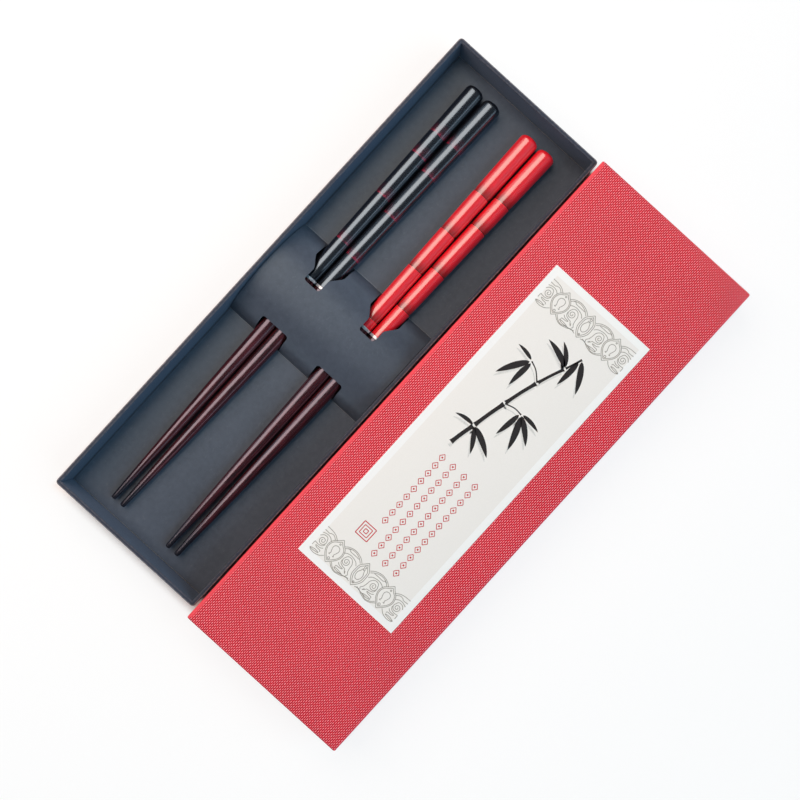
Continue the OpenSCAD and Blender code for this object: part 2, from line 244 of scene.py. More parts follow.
class StageSettings(bpy.types.PropertyGroup):
    """Camera and light"""
    camera_at: lengths("Camera", "Place of the camera", (41.95, -4.5, 447.9))
    camera_turn: FloatVectorProperty(name="Camera turn", description="Rotation of the camera",
                                     default=[math.radians(a) for a in (0.05, -0.16, 42.37)],
                                     subtype="EULER")
    lens: length("Lens", "Focal length of the camera", 48.4)
    window_away: length("Window distance", "Distance of the window light from the tray's middle", 520)
    window_height: angle("Window height", "Height of the window light over the table", 57.5)
    window_turn: angle("Window turn", "Direction of the window light, counted from +X towards +Y", 172)
    window_size: lengths("Window size", "Height and width of the window light", (470, 580))
    window_power: power("Window power", "Power of the window light", 3.2)
    window_tint: light_colour("Window tint", "Warm colour of the window light", (1.0, 0.764, 0.634))
    fill_away: length("Fill distance", "Distance of the fill light, on the other side", 3000)
    fill_height: angle("Fill height", "Height of the fill light over the table", 35)
    fill_turn: angle("Fill turn", "Direction of the fill light, counted from +X towards +Y", 20)
    fill_size: lengths("Fill size", "Height and width of the fill light", (3500, 3500))
    fill_power: power("Fill power", "Power of the fill light", 105)
    fill_tint: light_colour("Fill tint", "Bluish colour of the fill light", (0.55, 0.84, 1.0))
    sky: share("Sky", "Strength of the light from all round", 0.08)
    backdrop_away: length("Backdrop distance", "Distance of the backdrop from the tray's middle", 6000)
    backdrop_bend: length("Backdrop bend", "Radius of the bend from the table up to the backdrop", 1500)
    backdrop_height: length("Backdrop height", "Height of the backdrop over the table", 3000)
    whiten: share("Whiten", "How far the table looks plain white away from the case", 0.82)
    whiten_from: length("Whiten from", "Distance from the case at which the table is whitened in full", 5)


GROUPS = {
    "box_sizes": BoxSizes,
    "insert_sizes": InsertSizes,
    "stick_sizes": StickSizes,
    "label_sizes": LabelSizes,
    "finishes": Finishes,
    "stage_settings": StageSettings,
}


def settings(group):
    """The scene's values of one group."""
    return getattr(bpy.context.scene, group)


def quads(rows, columns, around=False, across=False):
    """Corner numbers of the quads between neighbouring rows and columns of a grid, with the last column
    joined to the first where the grid runs around, and the last row to the first where it runs across."""
    i, j = np.meshgrid(np.arange(rows if across else rows - 1),
                       np.arange(columns if around else columns - 1), indexing="ij")
    below = (i + 1) % rows
    right = (j + 1) % columns
    corners = [i * columns + j, i * columns + right, below * columns + right, below * columns + j]
    return np.stack(corners, -1).reshape(-1, 4)


def ringed(points, across=False):
    """Quads of a grid of points whose rows are closed rings."""
    return quads(*points.shape[:2], around=True, across=across)


def thickened(points, faces, offset):
    """A closed sheet: the faces, the same faces moved by each point's offset and turned over, and a quad
    along every edge that only one face has."""
    count = len(points)
    edges = np.stack([faces, np.roll(faces, -1, 1)], -1).reshape(-1, 2)
    _, where, times = np.unique(np.sort(edges, 1), axis=0, return_inverse=True, return_counts=True)
    rim = edges[times[where.ravel()] == 1]
    sides = np.stack([rim[:, 1], rim[:, 0], rim[:, 0] + count, rim[:, 1] + count], -1)
    return np.concatenate([points, points + offset]), np.concatenate([faces, faces[:, ::-1] + count, sides])


def add_piece(name, points, faces, finish, body, replaced=(), values=None, crease=35):
    """A new piece from its corner points and faces. Corners that coincide become one, faces are turned to
    point outwards, and edges bent by more than the crease angle in degrees stay sharp. Values are kept per
    corner."""
    mesh = bpy.data.meshes.new(name)
    mesh.from_pydata(points.reshape(-1, 3), [], faces)
    for key, data in (values or {}).items():
        places = data.shape[-1] == 3
        kind, field = ("FLOAT_VECTOR", "vector") if places else ("FLOAT", "value")
        mesh.attributes.new(key, kind, "POINT").data.foreach_set(field, data.astype(np.float32).ravel())
    build = bmesh.new()
    build.from_mesh(mesh)
    bmesh.ops.remove_doubles(build, verts=build.verts, dist=WELD)
    bmesh.ops.recalc_face_normals(build, faces=build.faces)
    build.to_mesh(mesh)
    build.free()
    mesh.shade_smooth()
    mesh.set_sharp_from_angle(angle=math.radians(crease))
    mesh.materials.append(finish)
    piece = bpy.data.objects.new(name, mesh)
    bpy.context.scene.collection.objects.link(piece)
    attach(piece, body)
    if replaced:
        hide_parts(*replaced)
    return piece


def dress(node, finish):
    """Gives a solid that keeps its own shape a finish."""
    slots = frame["nodes"][node].data.materials
    slots.clear()
    slots.append(finish)


class Finish:
    """A material whose nodes are added by short calls. A value that is a socket is linked, any other is
    set."""

    def __init__(self, name, **plain):
        self.material = bpy.data.materials.new(name)
        self.material.use_nodes = True
        self.tree = self.material.node_tree
        self.surface = self.tree.nodes["Principled BSDF"]
        for socket, value in plain.items():
            self.paint(socket.replace("_", " "), value)

    def fill(self, socket, value):
        """Links a socket to a value that is a socket too, or else sets it."""
        if isinstance(value, bpy.types.NodeSocket):
            self.tree.links.new(value, socket)
        elif socket.type == "RGBA" and len(value) == 3:
            socket.default_value = (*value, 1)
        else:
            socket.default_value = value

    def paint(self, socket, value):
        """Sets one socket of the surface."""
        self.fill(self.surface.inputs[socket], value)

    def node(self, kind, inputs=(), output=0, **options):
        """A new node of a kind, with options set and inputs given by name or number; returns an output."""
        made = self.tree.nodes.new(f"ShaderNode{kind}")
        for key, value in options.items():
            setattr(made, key, value)
        for key, value in dict(inputs).items():
            self.fill(made.inputs[key], value)
        return made.outputs[output]

    def place(self, stretch=(1, 1, 1)):
        """Object coordinates, stretched along each axis."""
        spot = self.node("TexCoord", output="Object")
        return self.node("Mapping", {"Vector": spot, "Scale": stretch})

    def kept(self, key, output="Fac"):
        """A value that the mesh keeps per corner."""
        return self.node("Attribute", output=output, attribute_name=key)

    def noise(self, vector, scale, detail=2.0, roughness=0.5):
        """Noise from 0 to 1 with so many lumps to a metre."""
        return self.node("TexNoise", {"Vector": vector, "Scale": scale, "Detail": detail,
                                      "Roughness": roughness})

    def axes(self, vector):
        """The parts of a vector along X, Y and Z."""
        return self.node("SeparateXYZ", {0: vector}).node.outputs

    def math(self, operation, a, b=0.0):
        """A sum, product or other operation on two values."""
        return self.node("Math", {0: a, 1: b}, operation=operation)

    def range(self, value, low, high, to_low=0.0, to_high=1.0, smooth=False):
        """Carries a range of values over to another, without leaving it."""
        return self.node("MapRange", {0: value, 1: low, 2: high, 3: to_low, 4: to_high},
                         interpolation_type="SMOOTHSTEP" if smooth else "LINEAR")

    def mix(self, factor, a, b):
        """A colour between two."""
        return self.node("Mix", {0: factor, 6: a, 7: b}, output=2, data_type="RGBA")

    def tones(self, factor, tint, low, high):
        """A colour between two shares of a tint."""
        return self.mix(factor, [low * c for c in tint], [high * c for c in tint])

    def bump(self, height, distance):
        """Raises the surface by a height from 0 to 1 of a distance in metres."""
        self.paint("Normal", self.node("Bump", {"Height": height, "Distance": distance, "Strength": 1.0}))


def tray_paper():
    """Matt dark paper: faint clouds, fine fibres, a bluish bloom at grazing angles, and paler edges: wear at
    the upright corners, wear and painted highlight round the rim, and painted highlight on the edges that
    face the window."""
    f = settings("finishes")
    made = Finish("tray_paper", Specular_IOR_Level=0.15, Sheen_Weight=0.3, Sheen_Roughness=0.4,
                  Sheen_Tint=(0.55, 0.72, 1.0))
    spot = made.place()
    clouds = made.noise(spot, 45, 3)
    fibres = made.noise(made.place((1, 0.35, 1)), 5200, 3)
    tone = made.range(made.math("ADD", clouds, fibres), 0.6, 1.4)
    ground = made.tones(tone, f.tray_paper, 0.86, 1.16)
    rubbed = made.range(made.noise(spot, 900, 3), 0.3, 0.7, 0.2, 0.9)
    # Paler edges: wear at the corners and the rim, and a painted highlight round the rim and on the edges
    # facing the window
    worn_and_lit = made.math("MULTIPLY", made.kept("edge"), rubbed)
    made.paint("Base Color", made.mix(worn_and_lit, ground, f.tray_wear_and_highlight))
    made.paint("Roughness", made.range(fibres, 0.2, 0.8, 0.46, 0.62))
    made.bump(fibres, 0.02 * MM)
    return made.material


def insert_card():
    """Dark grey card: flecks, a fine tooth and a pale line along each scored fold."""
    f = settings("finishes")
    made = Finish("insert_card", Specular_IOR_Level=0.45, Specular_Tint=(0.62, 0.85, 1.0))
    spot = made.place()
    clouds = made.noise(spot, 30, 3)
    tooth = made.noise(spot, 4200, 4, 0.6)
    flecks = made.range(made.noise(made.place((1, 0.4, 1)), 1500, 2), 0.64, 0.76)
    mottle = made.math("ADD", made.noise(spot, 420, 3), made.math("ADD", clouds, tooth))
    ground = made.tones(made.range(mottle, 1.0, 2.0), f.card, 0.8, 1.22)
    flecked = made.mix(made.math("MULTIPLY", flecks, 0.12), ground, f.card_score)
    rubbed = made.range(made.noise(spot, 700), 0.25, 0.7, 0.3, 0.9)
    score = made.math("MULTIPLY", made.kept("score"), rubbed)
    made.paint("Base Color", made.mix(score, flecked, f.card_score))
    made.paint("Roughness", made.range(tooth, 0.25, 0.75, 0.3, 0.4))
    made.bump(tooth, 0.03 * MM)
    return made.material


def lid_paper():
    """Red paper embossed with staggered dashes. On the unfolded sheet the height is the sum of three waves:
    one of half the pitch across the lid, which makes rows, and two that slant to either side, one of them
    faint, which break the rows into dashes a pitch apart. Where the height stands up the paper is painted
    paler and where it sinks darker, a painted highlight and painted shade. The edges are pressed smooth,
    and are painted a little paler: a painted highlight where they face the window at -X, wear at the corners."""
    f = settings("finishes")
    made = Finish("lid_paper", Specular_IOR_Level=0.15)
    sheet = made.kept("sheet", "Vector")
    wander = made.math("MULTIPLY", made.noise(sheet, 340, 2), 2.4)
    axes = made.axes(sheet)
    turns = TURN / settings("box_sizes").emboss
    across = made.math("ADD", made.math("MULTIPLY", axes["X"], turns), wander)
    along = made.math("MULTIPLY", axes["Y"], turns)
    rows = made.math("COSINE", made.math("MULTIPLY", across, 2.0))
    slant = made.math("COSINE", made.math("SUBTRACT", across, along))
    counter = made.math("COSINE", made.math("ADD", across, along))
    weave = made.math("ADD", made.math("MULTIPLY", rows, 0.8), made.math("MULTIPLY", slant, 0.35))
    lattice = made.math("ADD", weave, made.math("MULTIPLY", counter, 0.1))
    smooth = made.kept("edge")
    press = made.math("MULTIPLY", made.range(made.noise(sheet, 1100, 2), 0.3, 0.7, 0.5, 1.0),
                      made.range(smooth, 0.1, 0.9, 1.0, 0.1))
    # Where the emboss stands up it is painted paler, a painted highlight; where it sinks it is painted
    # darker, painted shade
    dots = made.math("MULTIPLY", made.range(lattice, 0.2, 0.85, smooth=True), press)
    pit_shade = made.math("MULTIPLY", made.range(lattice, 0.2, -0.4, smooth=True), press)
    clouds = made.range(made.noise(sheet, 22, 3), 0.3, 0.7)
    ground = made.tones(clouds, f.lid_paper, 0.93, 1.06)
    pit_shaded = made.mix(pit_shade, ground, f.lid_pit_shade)
    dot_highlighted = made.mix(dots, pit_shaded, f.lid_dot_highlight)
    # The pressed edges are lifted a little towards the pale dot tint: a painted highlight where they face the
    # window at -X, wear at the corners
    made.paint("Base Color", made.mix(made.math("MULTIPLY", smooth, 0.15), dot_highlighted, f.lid_dot_highlight))
    made.paint("Roughness", made.range(lattice, -1, 1, 0.56, 0.38))
    made.bump(made.math("MULTIPLY", made.range(lattice, -1, 1.4), press), 0.075 * MM)
    return made.material


def black_lacquer():
    """Deep gloss black in which red shows in patches above each joint and fades towards the top."""
    f = settings("finishes")
    made = Finish("black_lacquer", Roughness=0.23, IOR=1.88, Specular_IOR_Level=1.0,
                  Specular_Tint=(0.57, 0.79, 1.0))
    above = made.kept("above_joint")
    streaks = made.noise(made.place((1, 0.04, 1)), 3800, 3)
    patches = made.range(made.noise(made.place(), 420, 2), 0.34, 0.62, 0.15, 1.0)
    ragged = made.math("SUBTRACT", above, made.range(streaks, 0.3, 0.75, -0.4 * MM, 0.6 * MM))
    band = made.range(ragged, 0.3 * MM, 1.7 * MM, 0.95, 0.0, smooth=True)
    glow = made.range(ragged, 0.0, 6.0 * MM, 0.3, 0.0, smooth=True)
    fade = made.math("MULTIPLY", made.math("MAXIMUM", band, glow), patches)
    ground = made.tones(made.range(streaks, 0.35, 0.75), f.black, 1, 1.5)
    made.paint("Base Color", made.mix(fade, ground, f.black_band))
    return made.material


def red_lacquer():
    """Gloss red that darkens to brown above each joint and starts bright again on the joint's tip side."""
    f = settings("finishes")
    made = Finish("red_lacquer", Roughness=0.21, IOR=1.75, Specular_IOR_Level=1.0,
                  Specular_Tint=(0.7, 0.95, 1.0))
    above = made.kept("above_joint")
    streaks = made.noise(made.place((1, 0.05, 1)), 3600, 3)
    ragged = made.math("SUBTRACT", above, made.range(streaks, 0.3, 0.75, -0.5 * MM, 0.9 * MM))
    shade = made.range(ragged, -0.8 * MM, 6.5 * MM, 0.7, 0.0, smooth=True)
    line = made.range(above, 0.2 * MM, 0.6 * MM, 0.95, 0.0)
    ground = made.tones(made.range(streaks, 0.3, 0.7), f.red, 0.92, 1.06)
    made.paint("Base Color", made.mix(made.math("MAXIMUM", shade, line), ground, f.red_shade))
    return made.material


def dark_wood():
    """Oiled dark wood: long fine streaks and open pores that run along the stick, and a darker dipped tip."""
    f = settings("finishes")
    made = Finish("dark_wood", IOR=1.64, Specular_IOR_Level=1.0, Specular_Tint=(0.74, 0.77, 1.0))
    grain = made.noise(made.place((1, 0.02, 1)), 2600, 4, 0.6)
    fine = made.noise(made.place((1, 0.03, 1)), 9000, 2)
    pores = made.range(fine, 0.3, 0.42, 1.0, 0.0)
    ground = made.mix(made.range(grain, 0.4, 0.6), f.wood, f.wood_streak)
    ragged = made.math("ADD", made.kept("from_tip"), made.math("MULTIPLY", grain, 8 * MM))
    dipped = made.range(ragged, 10 * MM, 28 * MM, 1.0, 0.0, smooth=True)
    bare = made.mix(made.math("MULTIPLY", pores, 0.8), ground, [0.35 * c for c in f.wood])
    made.paint("Base Color", made.mix(dipped, bare, f.wood_tip))
    made.paint("Roughness", made.range(grain, 0.3, 0.7, 0.17, 0.25))
    made.bump(made.math("SUBTRACT", grain, pores), 0.006 * MM)
    return made.material


def ring_metal():
    """Bright plated metal with fine turning marks."""
    f = settings("finishes")
    made = Finish("ring_metal", Metallic=0.7)
    marks = made.noise(made.place((0.05, 1, 0.05)), 9000, 2)
    made.paint("Base Color", made.tones(marks, f.ring, 0.9, 1))
    made.paint("Roughness", made.range(marks, 0.2, 0.8, 0.32, 0.48))
    made.bump(marks, 0.002 * MM)
    return made.material


def label_paper():
    """Smooth white paper with fine fibres and a panel printed in a pale tint."""
    f = settings("finishes")
    made = Finish("label_paper", Specular_IOR_Level=0.4)
    fibres = made.noise(made.place((1, 0.4, 1)), 5000, 3)
    tone = made.range(fibres, 0.25, 0.75)
    bare = made.tones(tone, f.label, 0.97, 1)
    tint = made.tones(tone, f.panel, 0.96, 1)
    made.paint("Base Color", made.mix(made.kept("panel"), bare, tint))
    made.paint("Roughness", made.range(fibres, 0.2, 0.8, 0.5, 0.65))
    made.bump(fibres, 0.008 * MM)
    return made.material


def printing_ink(name, pigment, ground=None):
    """Ink that covers unevenly. Where a ground is given, the ink thins out to it at the edge of a stroke."""
    made = Finish(name, Specular_IOR_Level=0.35)
    cover = made.range(made.noise(made.place(), 1800, 3), 0.3, 0.75)
    inked = made.mix(cover, pigment, [min(1.0, 1.35 * c + 0.004) for c in pigment])
    if ground:
        inked = made.mix(made.range(made.kept("core"), 0.0, 1.0, smooth=True), ground, inked)
    made.paint("Base Color", inked)
    made.paint("Roughness", made.range(cover, 0, 1, 0.5, 0.62))
    return made.material


def plain_paper(name, tint, scale=4200, spread=0.14):
    """Uncoated stock with fibres and faint clouds, for the liner, the board and the stays."""
    made = Finish(name, Specular_IOR_Level=0.3)
    fibres = made.noise(made.place((1, 0.4, 1)), scale, 4, 0.65)
    tone = made.range(made.math("ADD", fibres, made.noise(made.place(), 35, 2)), 0.6, 1.4)
    made.paint("Base Color", made.tones(tone, tint, 1 - spread, 1 + spread))
    made.paint("Roughness", made.range(fibres, 0.2, 0.8, 0.65, 0.85))
    made.bump(fibres, 0.03 * MM)
    return made.material


def grey_board(box):
    """Grey board of a box: uncoated stock with coarse fibres."""
    return plain_paper(f"{box}_grey_board", settings("finishes").board, scale=2400)


def dress_inside(box):
    """Gives the corner stays and the liner of a box their papers."""
    f = settings("finishes")
    dress(f"{box}_stays", plain_paper(f"{box}_stay_paper", f.stay))
    dress(f"{box}_liner", plain_paper(f"{box}_liner_paper", f.liner))


def bright_table():
    """A matt white table. Away from the case, what looks at it straight, in gloss or through glass sees it
    part way to plain white, so the shadow stays but is faint there. The distance is that to the box of the
    case in plan."""
    s = settings("stage_settings")
    made = Finish("table", Roughness=0.9, Specular_IOR_Level=0.1, Base_Color=settings("finishes").table)
    rays = made.node("LightPath").node.outputs
    seen = made.math("MAXIMUM", rays["Is Camera Ray"], rays["Is Glossy Ray"])
    seen = made.math("MAXIMUM", seen, rays["Is Transmission Ray"])
    white = made.node("Emission", {"Color": (1, 1, 1), "Strength": 1.0})
    off = []
    for part, low, high in zip(made.axes(made.place())[:2], *CAD_BOX):
        from_middle = made.math("ABSOLUTE", made.math("SUBTRACT", part, (low + high) / 2))
        off.append(made.math("SUBTRACT", from_middle, (high - low) / 2))
    away = made.range(made.math("MAXIMUM", *off), 0.0, s.whiten_from, 0.0, s.whiten, smooth=True)
    whitened = made.math("MULTIPLY", seen, away)
    blend = made.node("MixShader", {0: whitened, 1: made.surface.outputs[0], 2: white})
    made.fill(made.tree.nodes["Material Output"].inputs["Surface"], blend)
    return made.material


def table_sweep():
    """A round table that bends up into a backdrop: the profile runs level from the middle, through a
    quarter arc and straight up, and is turned about the middle. Returns the points, no loose edges and the
    faces."""
    s = settings("stage_settings")
    sides, drop = 96, 0.05 * MM
    arc = np.linspace(0, TURN / 4, 13)
    bend = s.backdrop_bend
    out = np.concatenate([[bend], s.backdrop_away - bend * (1 - np.sin(arc)), [s.backdrop_away]])
    up = np.concatenate([[0], bend * (1 - np.cos(arc)), [s.backdrop_height]]) - drop
    around = np.linspace(0, TURN, sides, endpoint=False)
    points = np.stack([out[:, None] * np.cos(around), out[:, None] * np.sin(around),
                       np.repeat(up[:, None], sides, 1)], -1)
    return points.reshape(-1, 3), [], ringed(points).tolist() + [list(range(sides))[::-1]]


def rounded_rings(width, along, inset, corner, arc_steps=6, side_steps=4):
    """Rounded rectangles, one for each inset: a quarter arc at each corner, whose middle lies the corner
    radius inside the drawn-in edges, and evenly spread points on the straight sides with one close to each
    arc. Returns the points and the outward direction at each."""
    near = 0.001
    spread = np.concatenate([[near], np.linspace(0, 1, side_steps + 2)[1:-1], [1 - near]])
    half = np.stack([width / 2 - inset - corner, along / 2 - inset - corner], -1)
    quarter = np.linspace(0, TURN / 4, arc_steps + 1)
    arcs, ways = [], []
    for k, signs in enumerate(((1, 1), (-1, 1), (-1, -1), (1, -1))):
        way = np.stack([np.cos(quarter + k * TURN / 4), np.sin(quarter + k * TURN / 4)], -1)
        arcs.append(half[:, None] * signs + corner[:, None, None] * way)
        ways.append(way)
    points, out = [], []
    for k in range(4):
        start, end = arcs[k][:, -1:], arcs[(k + 1) % 4][:, :1]
        points += [arcs[k], start + (end - start) * spread[None, :, None]]
        out += [ways[k], np.repeat(ways[k][-1:], len(spread), 0)]
    return np.concatenate(points, 1), np.concatenate(out)


def box_rings(width, along, corner, inset, level):
    """A box's profile, given by insets and levels, carried round its rounded rectangle. The corners' radius
    shrinks with the inset down to that inside, and both ends of the profile lie in the middle, where it is
    zero. Returns the points and the outward directions."""
    radius = np.maximum(corner - inset, settings("box_sizes").inner_corner)
    radius[[0, -1]] = 0
    rings, ways = rounded_rings(width, along, inset, radius)
    return np.dstack([rings, np.repeat(level[:, None], rings.shape[1], 1)]), ways


def box_cover(width, along, height, corner, edge, press):
    """Paper round a box whose mouth is up. The profile runs from the middle of the underside out to its
    edge, up the wall, over the rim, down the inner wall to the floor, and back on the paper's other face,
    with quarter arcs at the edges; it is carried round the rounded rectangle of the box. Returns the
    points, the place of each on the unfolded sheet and how much paler it is painted along its edges: wear at
    the upright corners, wear and painted highlight round the rim, and painted highlight on the edges that
    face the window at -X."""
    b = settings("box_sizes")
    quarter = np.linspace(0, TURN / 4, 7)
    out, up = np.sin(quarter), np.cos(quarter)
    # Points this near to an arc keep the flat beside it flat
    hug = 0.1 * MM
    rim, wall, paper = b.rim_round, b.wall, b.paper
    levels = np.linspace(edge + press + hug, height - rim - hug, 4)
    inner = np.linspace(height - rim - hug, b.floor, 4)
    slope = np.array(b.press_slope)
    bend = edge - paper
    flat = np.ones(1)
    # Each leg: insets, levels, paleness from wear and painted highlight, 1 where only the side facing
    # the window at -X is painted lighter as a highlight, 1 where its corners wear
    legs = [
        (flat * width / 2, flat * 0, 0, 0, 0),
        (slope[:2], np.zeros(2), 0, 0, 0),
        (slope[2:], np.full(2, press), 0.8, 1, 0),
        (flat * (edge + hug), flat * press, 0.8, 1, 0),
        (edge * (1 - out), press + edge * (1 - up), 1, 1, 1),
        (levels * 0, levels, 0, 0, 1),
        (rim * (1 - up), height - rim * (1 - out), 1, 0, 1),
        (np.array([rim + hug, wall - rim - hug]), np.full(2, height), 0.1, 0, 0),
        (wall - rim * (1 - out), height - rim * (1 - up), 0.25, 0, 0),
        (inner * 0 + wall, inner, 0, 0, 0),
        (flat * (wall - paper), flat * b.floor, 0, 0, 0),
        (np.array([wall - paper, paper]), np.full(2, height - paper), 0, 0, 0),
        (edge - bend * out[::-1], press + edge - bend * up[::-1], 0, 0, 0),
        (flat * width / 2, flat * (paper + press), 0, 0, 0),
    ]
    inset, level = (np.concatenate([leg[k] for leg in legs]) for k in (0, 1))
    counts = [len(leg[0]) for leg in legs]
    wear_and_highlight, window_side, cornered = (np.repeat([leg[k] for leg in legs], counts)[:, None] for k in (2, 3, 4))
    points, ways = box_rings(width, along, corner, inset, level)
    run = np.cumsum(np.hypot(np.diff(inset, prepend=inset[0]), np.diff(level, prepend=level[0])))
    reach = np.maximum(run - width / 2 + inset, 0)
    sheet = np.dstack([points[..., :2] + ways * reach[:, None, None], np.zeros(points.shape[:2])])
    corner_wear, straight = 0.8, 0.999
    bent = corner_wear * (np.abs(ways).max(1) < straight)
    # On those legs only the edges that face the window at -X are painted lighter: a painted highlight
    window_facing = np.where(window_side, np.maximum(-ways[:, 0], 0), 1)
    return points, sheet, np.maximum(wear_and_highlight * window_facing, bent * cornered)


def board_blank(width, along, height, corner, edge, press):
    """Board inside the paper of a box whose mouth is up, a stay's thickness from it. The profile runs from
    the middle of the underside out to a quarter arc at its edge, up the wall, over the rim, down inside and
    back over the floor; it is carried round the rounded rectangle of the box."""
    b = settings("box_sizes")
    skin = b.paper + b.stay
    bend = edge - skin
    inner, rim = b.wall - b.paper, height - skin
    quarter = np.linspace(0, TURN / 4, 7)
    inset = np.concatenate([[width / 2], edge - bend * np.sin(quarter), [skin, inner, inner, width / 2]])
    level = np.concatenate([[press + skin], press + edge - bend * np.cos(quarter),
                            [rim, rim, b.floor, b.floor]])
    return box_rings(width, along, corner, inset, level)[0]


def stick_axis(name):
    """Round end of a chopstick and the way to its tip. The middle of the ring lies on the axis, the slide
    joint gives the way in plan, and the handle's taper gives the lean that lays its underside flat."""
    s = settings("stick_sizes")
    low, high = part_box(f"{name}_ring")
    slide = next(j for j in frame["joints"] if j["name"] == f"{name}_slide")
    lean = math.atan((s.handle_top_d - s.handle_low_d) / (2 * s.handle_l))
    up_stick = np.array(slide["axis"]) * math.cos(lean) + np.array([0, 0, math.sin(lean)])
    return np.array((low + high) / 2) + up_stick * (s.handle_l + s.ring_l / 2), -up_stick


def turned(name, along, radius, count=72):
    """A turned surface: each point of a profile, so far along the axis and so far from it, carried round
    the chopstick's axis on a circle."""
    start, way = stick_axis(name)
    side = np.cross(way, [0, 0, 1])
    side /= np.linalg.norm(side)
    up = np.cross(side, way)
    round_angle = np.arange(count) * TURN / count
    circle = np.cos(round_angle)[:, None] * side + np.sin(round_angle)[:, None] * up
    return start + along[:, None, None] * way + radius[:, None, None] * circle


def handle_profile(joints):
    """Profile of a handle: a quarter of a squarish ellipse for the nose, a straight taper that dips by half
    a cosine wave above each bamboo joint, a rounded end and the tenon's socket. Also gives how far each
    point lies above the next joint."""
    s = settings("stick_sizes")
    slope = (s.handle_top_d - s.handle_low_d) / (2 * s.handle_l)
    joints = np.array(joints)
    bend = np.linspace(0, TURN / 4, 18)
    square = 0.8
    nose = s.nose * (1 - np.cos(bend) ** square)
    waists = joints[:, None] + np.linspace(-s.joint_l, 0, 9)
    step = 0.02 * MM
    body = np.unique(np.concatenate([
        np.linspace(s.nose, s.handle_l - s.edge, 50)[1:], waists.ravel(), joints + step]))
    rise = np.clip((body[:, None] - joints + s.joint_l) / s.joint_l, 0, 1) * (body[:, None] <= joints + SAME)
    dip = (s.joint_dip * (1 - np.cos(math.pi * rise)) / 2).sum(1)
    end = s.edge * np.stack([np.sin(bend[1:]), 1 - np.cos(bend[1:])], -1)
    low_r = s.handle_low_d / 2
    socket_r = s.tenon_d / 2 + s.glue
    floor = s.handle_l - s.socket_l
    along = np.concatenate([nose, body, s.handle_l - s.edge + end[:, 0], [s.handle_l, floor, floor]])
    radius = np.concatenate([
        (s.handle_top_d / 2 - s.nose * slope) * np.sin(bend) ** square,
        s.handle_top_d / 2 - body * slope - dip,
        low_r - end[:, 1],
        [socket_r, socket_r, 0]])
    gap = joints - along[:, None]
    above = np.where(gap >= -SAME, gap, s.stick_l).min(1)
    return along, radius, above


def ring_profile():
    """Profile of a ring: a closed band round the tenon with its outer edges rounded by quarter arcs."""
    s = settings("stick_sizes")
    outer = s.handle_low_d / 2 + s.ring_proud
    inner = s.tenon_d / 2 + s.glue
    bend = np.linspace(0, TURN / 4, 6)
    top = s.handle_l + s.edge * (1 - np.sin(bend))
    foot = s.handle_l + s.ring_l - s.edge * (1 - np.sin(bend[::-1]))
    along = np.concatenate([[s.handle_l], top[::-1], foot[::-1], [s.handle_l + s.ring_l]])
    edge_r = outer - s.edge * (1 - np.cos(bend))
    radius = np.concatenate([[inner], edge_r[::-1], edge_r, [inner]])
    return along, radius


def shaft_profile():
    """Profile of a shaft: the tenon, a rounded shoulder, a taper that swells by a share of the product of
    the way from the tip and the way to it, and a quarter ellipse at the tip."""
    s = settings("stick_sizes")
    start = s.handle_l + s.ring_l
    tenon_top = s.handle_l - s.socket_l + s.glue_end
    tenon_r = s.tenon_d / 2
    bend = np.linspace(0, TURN / 4, 10)
    body = np.linspace(start + s.edge, s.stick_l - s.tip_round, 70)

    def taper(along):
        """Radius of the shaft so far along the stick."""
        left = (s.stick_l - along) / (s.stick_l - start)
        return (s.tip_d + (s.shaft_top_d - s.tip_d) * left * (1 + s.swell * (1 - left))) / 2

    shoulder_r = taper(start + s.edge) - s.edge * (1 - np.sin(bend[:-1]))
    along = np.concatenate([
        [tenon_top, tenon_top, start],
        start + s.edge * (1 - np.cos(bend[:-1])),
        body,
        s.stick_l - s.tip_round * (1 - np.sin(bend[1:]))])
    radius = np.concatenate([
        [0, tenon_r, tenon_r],
        shoulder_r,
        taper(body),
        taper(body[-1]) * np.cos(bend[1:])])
    return along, radius


def bridge_height(y):
    """Height of the card's upper face over its flat parts, and the way its thickness goes: zero outside the
    folds, an arc of the haunch radius from each fold to where it meets the crown's arc, and the crown
    between. At a fold the way is that of the mitre between the two sides."""
    c = settings("insert_sizes")
    low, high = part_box("insert_card")
    rise = high.z - low.z - c.card
    haunch_y = c.chord / 2 - c.haunch * math.sin(c.foot)
    haunch_z = -c.haunch * math.cos(c.foot)
    lift = rise - haunch_z - c.haunch
    extra = (haunch_y ** 2 + lift ** 2) / (2 * lift)
    crown_z = rise - c.haunch - extra
    meet = haunch_y * (1 + c.haunch / extra)
    off = np.abs(y - c.middle)
    sign = np.sign(y - c.middle)
    on_crown = off < meet
    radius = np.where(on_crown, c.haunch + extra, c.haunch)
    from_y = np.where(on_crown, off, off - haunch_y)
    up = np.sqrt(np.maximum(radius ** 2 - from_y ** 2, 0))
    bridge = off <= c.chord / 2 + SAME
    height = np.where(bridge, np.where(on_crown, crown_z, haunch_z) + up, 0)
    lean = np.where(bridge, from_y / radius, 0)
    level = np.where(bridge, up / radius, 1)
    fold = np.abs(off - c.chord / 2) < SAME
    share_up = np.where(fold, 1 + level, 1)
    return height, -np.stack([lean * 0, sign * lean, level + fold], -1) / share_up[:, None]


